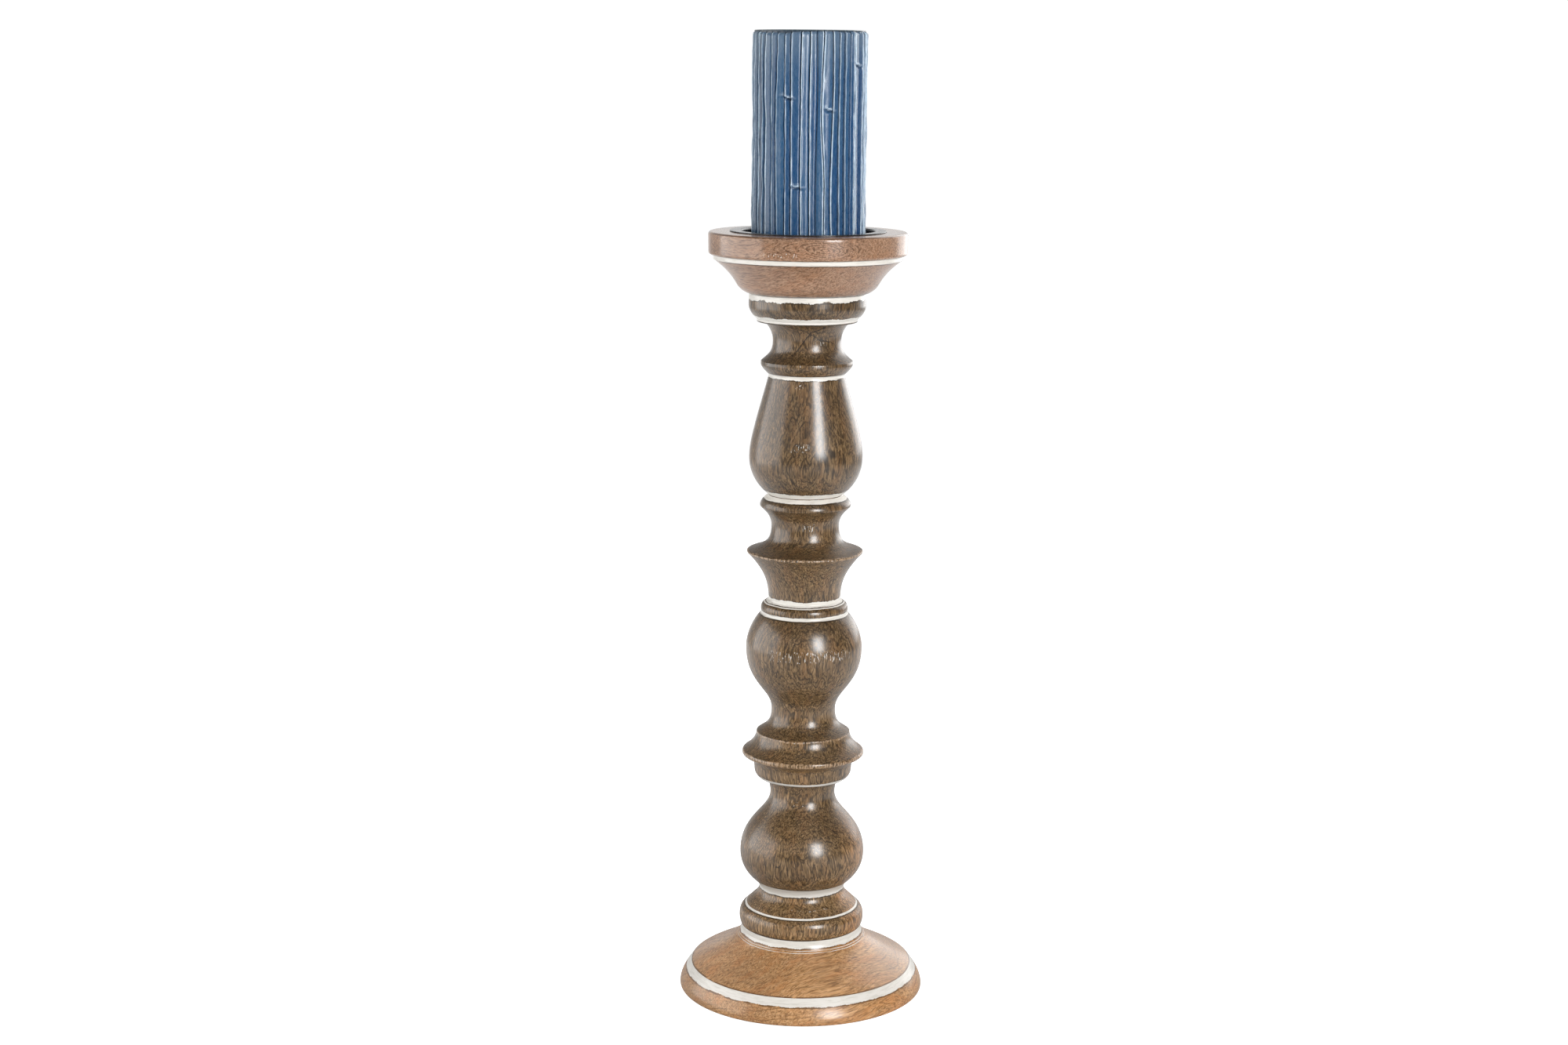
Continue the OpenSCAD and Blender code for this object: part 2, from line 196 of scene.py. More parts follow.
class Shader:
    """A material's node tree. Every method adds nodes and gives back the output that carries the result."""

    def __init__(self, name, **settings):
        self.material = bpy.data.materials.new(name)
        self.material.use_nodes = True
        self.tree = self.material.node_tree
        self.surface = self.tree.nodes["Principled BSDF"]
        for socket, value in settings.items():
            self.set(socket.replace("_", " "), value)
        place = self.tree.nodes.new("ShaderNodeTexCoord")
        self.mm = self.vector("SCALE", place.outputs["Object"], Scale=1 / MM)
        self.facing = place.outputs["Normal"]
        self.x, self.y, self.z = (self.node("SeparateXYZ", {0: self.mm}, out=i) for i in range(3))

    def node(self, kind, inputs, out=0, **settings):
        node = self.tree.nodes.new("ShaderNode" + kind)
        for key, value in settings.items():
            setattr(node, key, value)
        for key, value in inputs.items():
            if isinstance(value, bpy.types.NodeSocket):
                self.tree.links.new(value, node.inputs[key])
            else:
                node.inputs[key].default_value = value
        return node.outputs[out]

    def set(self, socket, value):
        if isinstance(value, bpy.types.NodeSocket):
            self.tree.links.new(value, self.surface.inputs[socket])
        elif isinstance(value, tuple) and len(value) == 3 and socket != "Subsurface Radius":
            self.surface.inputs[socket].default_value = (*value, 1)
        else:
            self.surface.inputs[socket].default_value = value

    def math(self, operation, *values):
        return self.node("Math", dict(enumerate(values)), operation=operation)

    def vector(self, operation, a, b=None, out=0, **named):
        inputs = {0: a, **named}
        if b is not None:
            inputs[1] = b
        return self.node("VectorMath", inputs, operation=operation, out=out)

    def join(self, x, y, z):
        return self.node("CombineXYZ", {0: x, 1: y, 2: z})

    def stretch(self, vector, x, y, z, shift=0.0):
        moved = self.vector("ADD", vector, (shift, shift, shift)) if shift else vector
        return self.vector("MULTIPLY", moved, (x, y, z))

    def noise(self, vector, detail=2.0, roughness=0.5, out=0):
        return self.node(
            "TexNoise", {"Vector": vector, "Scale": 1.0, "Detail": detail, "Roughness": roughness}, out=out
        )

    def step(self, value, low, high, to_low=0.0, to_high=1.0):
        """to_low up to low, to_high from high on, and a smooth change between them."""
        return self.node(
            "MapRange", {0: value, 1: low, 2: high, 3: to_low, 4: to_high}, interpolation_type="SMOOTHSTEP"
        )

    def mix(self, share, a, b, blend="MIX"):
        node = self.tree.nodes.new("ShaderNodeMix")
        node.data_type, node.blend_type = "RGBA", blend
        for index, value in ((0, share), (6, a), (7, b)):
            if isinstance(value, bpy.types.NodeSocket):
                self.tree.links.new(value, node.inputs[index])
            else:
                node.inputs[index].default_value = (*value, 1) if isinstance(value, tuple) else value
        return node.outputs[2]

    def ramp(self, value, *stops):
        node = self.tree.nodes.new("ShaderNodeValToRGB")
        self.tree.links.new(value, node.inputs[0])
        elements = node.color_ramp.elements
        while len(elements) < len(stops):
            elements.new(0.5)
        for element, (place, colour) in zip(elements, stops):
            element.position, element.color = place, (*colour, 1)
        return node.outputs[0]

    def length(self, a, b):
        """The length of the line with these two legs."""
        return self.math("SQRT", self.math("ADD", self.math("POWER", a, 2.0), self.math("POWER", b, 2.0)))

    def band(self, low, high, ragged, rag_low=0.0, rag_high=0.0, soft=0.1):
        """1 between two heights in mm, with each edge ragged by so many mm."""
        lower = self.math("MULTIPLY_ADD", ragged, rag_low, self.z)
        upper = self.math("MULTIPLY_ADD", ragged, rag_high, self.z)
        lower = self.step(lower, low - soft, low + soft)
        upper = self.step(upper, high - soft, high + soft, 1.0, 0.0)
        return self.math("MULTIPLY", lower, upper)

    def contours(self, value, times, width):
        """Thin lines, wherever the value times so many comes half way between two whole numbers."""
        phase = self.math("FRACT", self.math("MULTIPLY", value, times))
        off = self.math("ABSOLUTE", self.math("SUBTRACT", phase, 0.5))
        return self.step(off, 0.4 * width, width, 1.0, 0.0)

    def any_of(self, masks):
        total = masks[0]
        for mask in masks[1:]:
            total = self.math("MAXIMUM", total, mask)
        return total

    def bump(self, height, strength, distance):
        """Relief of so many mm."""
        relief = {"Height": height, "Strength": strength, "Distance": distance * MM}
        self.set("Normal", self.node("Bump", relief))


PAINT_LIGHT, PAINT_DARK = (0.69, 0.66, 0.61), (0.58, 0.55, 0.495)
THIN_PAINT = 0.4  # mm: a painted line thinner than this is faded in places
STRAY = 14  # mm by which the grain strays
RAG = 4.5  # mm: the full height of a ragged edge's noise


# The settings of a wood's figure. Scales are across the grain and along it, and strengths run from 0 to 1.
FIGURE = {
    "gloss": 1.0,  # weight of the lacquer, and
    "upper_gloss": None,  # its weight on upward faces, where that differs
    "polish": 0.25,  # roughness of the lacquer
    "upper": 1.0,  # painted shade: tone of upward faces
    "painted_height_light": (),  # painted light: tone changing with height, lighter low down as if lit by the floor's bounce: (low, high, tone below, tone above)
    "spacing": 6,  # mm between growth rings
    "wave": (0.05, 0.02, 9),  # the rings' waviness: two scales and mm
    "flat": 1.0,  # how far the rings are flattened
    "reach": 1000,  # mm from the heart within which rings show
    "late": 0.2,  # strength of the rings' dark late wood
    "contour": 0.4,  # strength of the dark line in each ring
    "lines_per_ring": 3,
    "ringed": 0.3,  # strength of the fine lines in each ring
    "vein": (0.5, 0.05, 6),  # fine looped lines between the rings: two scales and a count
    "line": 0.5,  # strength of the looped lines
    "dash": (1.6, 0.15),  # scales of the pores and pale dashes
    "pores": 0.5,
    "pale": 0.35,
    "warmth": 0.5,  # strength of the warm patches
    "sapwood_and_side_light": None,  # paler outer wood on one side, set on the column's right so it also paints in the light falling there: (where it starts in mm, its lean, strength)
    "cracks": None,  # dark checks on a neck: (its radius in mm, pairs of places as azimuth and height)
    "raw": (0.5, 0.35, 0.2),  # colour of bare wood on rubbed edges, also laid as a painted highlight along a crease
}


def wood(name, along, across, heart, tones, figure, paint=(), dark_lines=(), worn_and_highlit=(), flecks=()):
    """Lacquered wood with grain along one direction and growth rings round a heart line.

    The heights of paint, dark_lines, worn and flecks are in mm. A band of paint also has the raggedness of
    its lower and its upper edge, and a row of flecks is (height, reach, azimuth, spread)."""
    figure = {**FIGURE, **figure}
    s = Shader(name, Coat_Weight=figure["gloss"], Coat_Roughness=figure["polish"], Specular_IOR_Level=0.15)
    light, middle, dark, warm = tones
    black = tuple(0.4 * c for c in dark)
    along, across = Vector(along).normalized(), Vector(across).normalized()
    side = along.cross(across)
    wander = s.noise(s.stretch(s.mm, 0.018, 0.018, 0.018, 40), 1.0, out="Color")
    wander = s.vector("MULTIPLY", s.vector("SUBTRACT", wander, (0.5, 0.5, 0.5)), (STRAY, STRAY, STRAY))
    strayed = s.vector("ADD", s.mm, wander)
    u = s.vector("DOT_PRODUCT", strayed, tuple(across), out="Value")
    v = s.vector("DOT_PRODUCT", strayed, tuple(side), out="Value")
    w = s.vector("DOT_PRODUCT", s.mm, tuple(along), out="Value")
    grain = s.join(u, v, w)

    # growth rings, wavy as in interlocked grain, with fine broken lines between them
    wave_across, wave_along, wave_height = figure["wave"]
    swirl = s.noise(s.stretch(grain, wave_across, wave_across, wave_along, 17), 1.5, 0.45)
    swirl = s.math("MULTIPLY", s.math("SUBTRACT", swirl, 0.5), wave_height)
    du = s.math("SUBTRACT", u, heart[0])
    dv = s.math("MULTIPLY", s.math("SUBTRACT", v, heart[1]), figure["flat"])
    distance = s.length(du, dv)
    ring = s.math("DIVIDE", s.math("ADD", distance, swirl), figure["spacing"])
    phase = s.math("FRACT", ring)
    late = s.math("MULTIPLY", s.step(phase, 0.4, 0.92), s.step(phase, 0.95, 1.0, 1.0, 0.0))
    broken = s.noise(s.stretch(grain, 0.9, 0.9, 0.16, 5), 2.0, 0.6)
    shown = s.step(distance, figure["reach"], 2 * figure["reach"], 1.0, 0.0)
    vein_across, vein_along, veins = figure["vein"]
    looped = s.noise(s.stretch(grain, vein_across, vein_across, vein_along, 51), 1.5, 0.5)
    thin = s.math("MULTIPLY", s.contours(looped, veins, 0.16), figure["line"])
    ringed = s.math("MULTIPLY", s.contours(ring, figure["lines_per_ring"], 0.2), shown)
    thin = s.math("MAXIMUM", thin, s.math("MULTIPLY", ringed, figure["ringed"]))
    thin = s.math("MULTIPLY", thin, s.step(broken, 0.38, 0.52))
    contour = s.step(s.math("ABSOLUTE", s.math("SUBTRACT", phase, 0.5)), 0.02, 0.09, 1.0, 0.0)
    some = s.noise(s.stretch(s.mm, 0.05, 0.05, 0.05, 27), 2.0)
    contour = s.math("MULTIPLY", contour, s.step(some, 0.5, 0.6))
    late, contour = s.math("MULTIPLY", late, shown), s.math("MULTIPLY", contour, shown)

    # fibres, dark pores, pale dashes, the slow random change of tone, and painted shade and light by facing
    # and height
    dash_across, dash_along = figure["dash"]
    fibre = s.noise(s.stretch(grain, 0.55 * dash_across, 0.55 * dash_across, 0.4 * dash_along), 3.0, 0.65)
    pores = s.noise(s.stretch(grain, dash_across, dash_across, dash_along, 7), 1.0, 0.6)
    pores = s.step(pores, 0.54, 0.62)
    pale = s.noise(s.stretch(grain, dash_across, dash_across, dash_along, 33), 1.0, 0.6)
    pale = s.step(pale, 0.55, 0.66)
    patch = s.noise(s.stretch(grain, 0.16, 0.16, 0.02, 61), 3.0, 0.6)

    colour = s.ramp(fibre, (0.34, dark), (0.5, middle), (0.70, light))
    colour = s.mix(s.math("MULTIPLY", s.step(patch, 0.45, 0.66), figure["warmth"]), colour, warm)
    colour = s.mix(s.math("MULTIPLY", pale, figure["pale"]), colour, light)
    colour = s.mix(s.math("MULTIPLY", late, figure["late"]), colour, dark)
    colour = s.mix(thin, colour, black)
    colour = s.mix(s.math("MULTIPLY", pores, figure["pores"]), colour, black)
    colour = s.mix(s.math("MULTIPLY", contour, figure["contour"]), colour, black)
    # paler outer wood on one side; on the column it lies to the right and also stands in as painted light
    # from that side
    if figure["sapwood_and_side_light"]:
        edge, lean, share = figure["sapwood_and_side_light"]
        outer = s.step(s.math("MULTIPLY_ADD", w, -lean, v), edge, edge + 18, 0.0, share)
        colour = s.mix(outer, colour, s.mix(1.0, colour, (1.9, 1.6, 1.35), "MULTIPLY"))
    shade = s.step(s.noise(s.stretch(s.mm, 0.02, 0.02, 0.03, 11), 1.0), 0.3, 0.7, 0.84, 1.08)
    # painted shade: upward faces darkened, as they get less of the floor's bounce light
    up = s.node("SeparateXYZ", {0: s.facing}, out=2)
    shade = s.math("MULTIPLY", shade, s.step(up, 0.1, 0.8, 1.0, figure["upper"]))
    if figure["upper_gloss"]:
        s.set("Coat Weight", s.step(up, 0.4, 0.85, figure["gloss"], figure["upper_gloss"]))
    # painted light: lighter low on the column and darker higher up, standing in for the floor's bounce light
    for low, high, below, above in figure["painted_height_light"]:
        shade = s.math("MULTIPLY", shade, s.step(s.z, low, high, below, above))
    colour = s.vector("SCALE", colour, Scale=shade)

    relief = s.math("MULTIPLY_ADD", pores, -0.7, s.math("MULTIPLY", fibre, 0.5))
    outside = s.step(s.length(s.x, s.y), BORES - 1.5, BORES - 0.5)
    fine = s.noise(s.stretch(s.mm, 0.9, 0.9, 0.9, 3), 3.0, 0.65)
    slow = s.noise(s.stretch(s.mm, 0.13, 0.13, 0.13, 23), 2.0)
    rag = s.math("MULTIPLY_ADD", fine, 0.7, s.math("MULTIPLY", slow, 1.3))
    rag = s.math("MULTIPLY", s.math("SUBTRACT", rag, 1.0), RAG)
    # bare wood on rubbed edges, and a painted highlight in the same pale colour along the column's crease at
    # 166 mm
    if worn_and_highlit:
        raw = s.any_of([s.band(low, high, rag, 0.3, 0.3) for low, high in worn_and_highlit])
        raw = s.math("MULTIPLY", raw, s.step(s.noise(s.stretch(s.mm, 0.9, 0.9, 0.35, 21), 2.0), 0.42, 0.58))
        colour = s.mix(s.math("MULTIPLY", raw, 0.7), colour, figure["raw"])
    turn = s.math("DEGREES", s.math("ARCTAN2", s.x, s.math("MULTIPLY", s.y, -1.0)))
    if figure["cracks"]:
        # each crack is a shaken line on the neck's surface, rolled out flat
        neck, ends = figure["cracks"]
        shaken = s.noise(s.stretch(s.mm, 0.5, 0.5, 0.5, 44), 2.0)
        shaken = s.math("MULTIPLY", s.math("SUBTRACT", shaken, 0.5), 3.0)
        flat = s.join(s.math("MULTIPLY_ADD", turn, radians(neck), shaken), s.math("ADD", s.z, shaken), 0.0)
        for start, end in ends:
            a, b = (Vector((radians(azimuth) * neck, height, 0)) for azimuth, height in (start, end))
            run = b - a
            from_a = s.vector("SUBTRACT", flat, tuple(a))
            share = s.vector("DOT_PRODUCT", from_a, tuple(run / run.length_squared), out="Value")
            share = s.math("MINIMUM", s.math("MAXIMUM", share, 0.0), 1.0)
            gap = s.vector("DISTANCE", from_a, s.vector("SCALE", tuple(run), Scale=share), out="Value")
            crack = s.step(gap, 0.14, 0.42, 1.0, 0.0)
            colour = s.mix(crack, colour, tuple(0.5 * c for c in black))
            relief = s.math("MULTIPLY_ADD", crack, -1.5, relief)
    if flecks:
        # short upright pale dashes in the pores, three times round at each place: partly paint caught there,
        # partly painted glints where the pores catch the light
        paint_and_glint_spots = s.step(s.noise(s.stretch(s.mm, 1.4, 1.4, 0.38, 77), 1.0), 0.60, 0.66)
        near = []
        for height, reach, azimuth, spread in flecks:
            aside = s.math("ABSOLUTE", s.math("WRAP", s.math("SUBTRACT", turn, azimuth), 60.0, -60.0))
            aside = s.step(aside, 0.5 * spread, spread, 1.0, 0.0)
            level = s.band(height - reach, height + reach, rag, 0.3, 0.3, 0.3)
            near.append(s.math("MULTIPLY", aside, level))
        paint_and_glint_spots = s.math("MULTIPLY", paint_and_glint_spots, s.any_of(near))
        colour = s.mix(s.math("MULTIPLY", paint_and_glint_spots, 0.75), colour, PAINT_LIGHT)
    # thin dark lines: partly dark residue at the paint's edges and joints, partly painted shadow in the gaps
    # and undercuts, as under the collar
    if dark_lines:
        dark_line_and_shadow = s.any_of([s.band(low, high, rag, 0.1, 0.1) for low, high in dark_lines])
        dark_line_and_shadow = s.math("MULTIPLY", dark_line_and_shadow, s.step(s.noise(s.stretch(s.mm, 0.15, 0.15, 0.3, 31), 2.0), 0.3, 0.45))
        colour = s.mix(s.math("MULTIPLY", dark_line_and_shadow, 0.85), colour, black)
    if paint:
        faded = s.step(s.noise(s.stretch(s.mm, 0.07, 0.07, 0.07, 91), 1.0), 0.38, 0.56, 0.2, 0.9)
        bands = []
        for low, high, below, above in paint:
            strength = faded if high - low < THIN_PAINT else 1.0
            bands.append(s.math("MULTIPLY", s.band(low, high, rag, below, above, 0.06), strength))
        coat = s.any_of(bands)
        chips = s.step(s.noise(s.stretch(s.mm, 0.6, 0.6, 1.4, 83), 4.0, 0.7), 0.69, 0.72, 1.0, 0.0)
        coat = s.math("MULTIPLY", s.math("MULTIPLY", coat, chips), outside)
        streak = s.noise(s.stretch(s.mm, 0.12, 0.12, 1.3, 9), 4.0, 0.65)
        cream = s.ramp(streak, (0.34, PAINT_DARK), (0.52, PAINT_LIGHT))
        colour = s.mix(coat, colour, cream)
        relief = s.math("MULTIPLY_ADD", coat, 1.2, relief)
    s.set("Base Color", colour)
    s.set("Roughness", s.step(fibre, 0.3, 0.7, 0.38, 0.55))
    s.bump(relief, 0.45, 0.1)
    return s.material


# Heights in mm above the ground: the column stands on the base at 41.6, and the cup on the column at 440.4
base_wood = wood(
    "base_wood", (0.86, 0.5, 0.0), (-0.25, 0.2, 1), (-260, 0),
    ((0.60, 0.355, 0.175), (0.50, 0.272, 0.115), (0.28, 0.135, 0.052), (0.475, 0.215, 0.078)),
    {
        "gloss": 0.75, "ringed": 0.3, "line": 0.3, "vein": (0.3, 0.05, 4), "dash": (1.6, 0.13),
        "pores": 0.55, "warmth": 0.75, "raw": (0.6, 0.4, 0.22),
    },
    paint=[
        (12.4, 16.8, 0.3, 0.0), (34.45, 34.75, 0.08, 0.08), (35.55, 35.85, 0.08, 0.08),
        (37.1, 42.0, 0.35, 0.0),
    ],
    dark_lines=[(16.75, 17.3), (11.6, 12.5), (36.4, 37.3)],
    worn_and_highlit=[(12.0, 12.9)],
)
CUP_GRAIN = radians(50)  # the azimuth to which the cup's grain runs, so that its rings are ovals on the rim
cup_wood = wood(
    "cup_wood", (sin(CUP_GRAIN), -cos(CUP_GRAIN), 0), (-cos(CUP_GRAIN), -sin(CUP_GRAIN), 0), (38.8, -469),
    ((0.435, 0.272, 0.175), (0.335, 0.193, 0.117), (0.19, 0.096, 0.054), (0.345, 0.175, 0.094)),
    {
        "gloss": 0.9, "polish": 0.18, "wave": (0.12, 0.04, 2.5), "flat": 2.8, "reach": 13,
        "lines_per_ring": 2, "ringed": 0.85, "vein": (0.45, 0.06, 4), "dash": (1.7, 0.2), "pale": 0.3,
    },
    paint=[(460.4, 463.0, 0.05, 0.05)],
    dark_lines=[(459.7, 460.4), (463.0, 463.5), (440.0, 441.0), (476.15, 476.7)],
    flecks=[(466.5, 1.2, -16, 12)],
)
COLUMN_GRAIN = radians(17)
column_wood = wood(
    "column_wood", (0, 0, 1), (sin(COLUMN_GRAIN), -cos(COLUMN_GRAIN), 0), (-420, 0),
    ((0.38, 0.238, 0.12), (0.19, 0.114, 0.048), (0.08, 0.046, 0.018), (0.265, 0.133, 0.052)),
    {
        "upper": 0.7, "upper_gloss": 0.15, "painted_height_light": ((60, 70, 1.4, 1.0), (100, 420, 1.0, 0.72)),
        "spacing": 5, "wave": (0.17, 0.05, 9), "late": 0.25, "contour": 0.8, "lines_per_ring": 2.8,
        "ringed": 0.8, "line": 0.8, "dash": (1.5, 0.15), "pores": 0.6, "pale": 0.5,
        "sapwood_and_side_light": (3, 0.1, 0.6), "raw": (0.42, 0.28, 0.17),
        "cracks": (22, (
            ((-22, 404), (6, 418)), ((-8, 420), (18, 414)), ((18, 414), (50, 411)), ((6, 418), (24, 421)),
        )),
    },
    paint=[
        (54.3, 55.2, 0.05, 0.05), (65.9, 71.8, 0.3, 0.0), (137.9, 139.6, 0.06, 0.1),
        (242.1, 244.1, 0.06, 0.25), (249.1, 249.6, 0.08, 0.08), (250.0, 253.0, 0.12, 0.4),
        (314.3, 316.5, 0.15, 0.08), (317.0, 320.0, 0.08, 0.3), (389.1, 391.5, 0.4, 0.05),
        (423.5, 426.7, 0.05, 0.4), (436.9, 441.0, 0.75, 0.0),
    ],
    dark_lines=[
        (41.4, 42.7), (53.8, 54.3), (65.2, 66.2), (71.8, 72.5), (137.2, 137.9), (241.4, 242.1),
        (244.1, 244.5), (249.6, 250.0), (253.0, 253.4), (313.6, 314.3), (320.0, 320.5), (388.5, 389.1),
        (391.5, 392.0), (422.6, 423.5), (436.0, 437.2),
    ],
    # bare rubbed wood at the disc rim and the ridge; the band at 165.8 to 166.8 is a painted highlight on a
    # crease
    worn_and_highlit=[(151.5, 155.0), (280.5, 282.0), (165.8, 166.8)],
    # pale specks near the highlights: partly paint in the pores, partly painted glints
    flecks=[
        (221.5, 3.2, 8, 52), (166.2, 0.4, -12, 24), (281.2, 0.5, 0, 40), (124.5, 1.2, -8, 14),
        (385.5, 1.2, -12, 10), (350, 2.5, -6, 12), (412, 2, 24, 12), (398.5, 0.4, 0, 30),
        (299, 2.5, 6, 12), (58.9, 0.3, 10, 30),
    ],
)

turned("base_turned", "base", base_wood, 1.0, segments=160)
turned("column_turned", "column", column_wood, 1.1, segments=108)
turned("cup_turned", "cup", cup_wood, 1.0, segments=160)


# ---- The candle ----

# What the candle's mesh tells its material at each point, from 0 to 1: the rib's tone from dark to light,
# how far the point is in a groove (darkened there as painted shade), how strong a painted highlight is on a
# crest or a scar's lip, and how far it is on the core
MARKS = ("tone", "groove", "crest", "core")


def wax():
    s = Shader(
        "ribbed_wax", Specular_IOR_Level=0.3, Coat_Weight=0.2, Coat_Roughness=0.14,
        Subsurface_Weight=0.15, Subsurface_Radius=(0.3, 0.6, 1.0), Subsurface_Scale=0.002,
    )
    tone, groove, crest, core = (s.node("Attribute", {}, out="Fac", attribute_name=mark) for mark in MARKS)
    cloud = s.noise(s.stretch(s.mm, 0.09, 0.09, 0.02), 3.0, 0.6)
    bloom = s.noise(s.stretch(s.mm, 0.9, 0.9, 0.22, 12), 4.0, 0.65)
    deep, middle, light = (0.009, 0.039, 0.112), (0.016, 0.060, 0.148), (0.028, 0.086, 0.180)
    colour = s.ramp(tone, (0.0, deep), (0.5, middle), (1.0, light))
    # painted sheen: the left side greyed, as if reflecting the big light from the left
    colour = s.mix(s.step(s.x, -32.0, -8.0, 0.3, 0.0), colour, (0.06, 0.105, 0.13))
    colour = s.mix(s.step(cloud, 0.4, 0.7, 0.0, 0.3), colour, (0.06, 0.115, 0.18))
    colour = s.mix(s.step(bloom, 0.52, 0.75, 0.0, 0.22), colour, (0.16, 0.24, 0.30))
    colour = s.mix(s.step(s.z, 565.0, 597.0, 0.0, 0.5), colour, (0.15, 0.205, 0.26))
    painted_highlight = s.math("MULTIPLY", crest, s.step(bloom, 0.3, 0.6, 0.55, 1.0))
    colour = s.mix(painted_highlight, colour, (0.66, 0.78, 0.88))
    colour = s.mix(core, colour, (0.10, 0.13, 0.135))
    # painted shade: grooves, scar cuts and the rim's outer edge darkened to deep navy
    colour = s.mix(s.math("MULTIPLY", groove, 0.9), colour, (0.008, 0.018, 0.042))
    s.set("Base Color", colour)
    s.set("Roughness", s.step(bloom, 0.3, 0.8, 0.22, 0.42))
    fine = s.noise(s.stretch(s.mm, 2.5, 2.5, 0.5, 5), 3.0)
    s.bump(s.math("ADD", bloom, fine), 0.3, 0.12)
    return s.material


RIBS = 50
ROWS = 72
# Across one rib, from its groove on the left to the next: the place, the height, and how far it is crest
RIB_SECTION = (
    (0.0, 0.0, 0.0), (0.035, 0.12, 0.0), (0.07, 0.7, 0.6), (0.105, 1.0, 1.0), (0.15, 0.97, 0.9),
    (0.2, 0.84, 0.2), (0.3, 0.74, 0.0), (0.46, 0.7, 0.0), (0.62, 0.67, 0.0), (0.78, 0.6, 0.0),
    (0.9, 0.42, 0.0), (0.965, 0.12, 0.0),
)
MIRRORED_SECTION = RIB_SECTION[:1] + tuple((1 - p, h, c) for p, h, c in reversed(RIB_SECTION[1:]))
# Scratches across the ribs: (azimuth, height, half length in mm)
SCARS = ((-22, 556, 3.4), (20, 549, 3.0), (-12, 504, 3.2), (57, 575, 3.6), (140, 540, 3.0), (-120, 520, 3.2))
# Where the ribs draw together: (azimuth, height, reach in mm, strength)
PINCHES = (
    (9, 550, 26, 0.5), (17, 505, 30, 0.45), (-40, 530, 25, 0.4), (100, 540, 24, 0.6), (-150, 500, 25, 0.5),
    (165, 560, 20, 0.6),
)
PINCH_WIDTH = 0.13  # how far to each side a pinch draws the ribs, in radians
ROUNDING = 1.6  # mm over which the ribs' ends are rounded
END_RAG = 30  # mm below the top within which the ribs' lengths differ
CORE_RADIUS = 33.1  # mm
SCAR_ROWS, CLOSEST_ROWS = 0.5, 0.2  # mm between the rows at a scar, and the least between any two rows
SCAR_DEPTH, LIP_HEIGHT = 1.3, 0.5  # mm that a scar cuts, and that the wax stands up just above it
WAIST, WAIST_REACH = 0.28, 30  # mm that the candle is slimmer half-way up, and over what height


def smooth_line(rng, waves):
    """A smooth random function of height, as a sum of sines of (amplitude, wavelength)."""
    parts = [(a, 2 * pi / (l * rng.uniform(0.8, 1.25)), rng.uniform(0, 2 * pi)) for a, l in waves]
    return lambda z: sum(a * sin(k * z + phase) for a, k, phase in parts)


def turn_between(a, b):
    """The signed angle from b to a."""
    return (a - b + pi) % (2 * pi) - pi


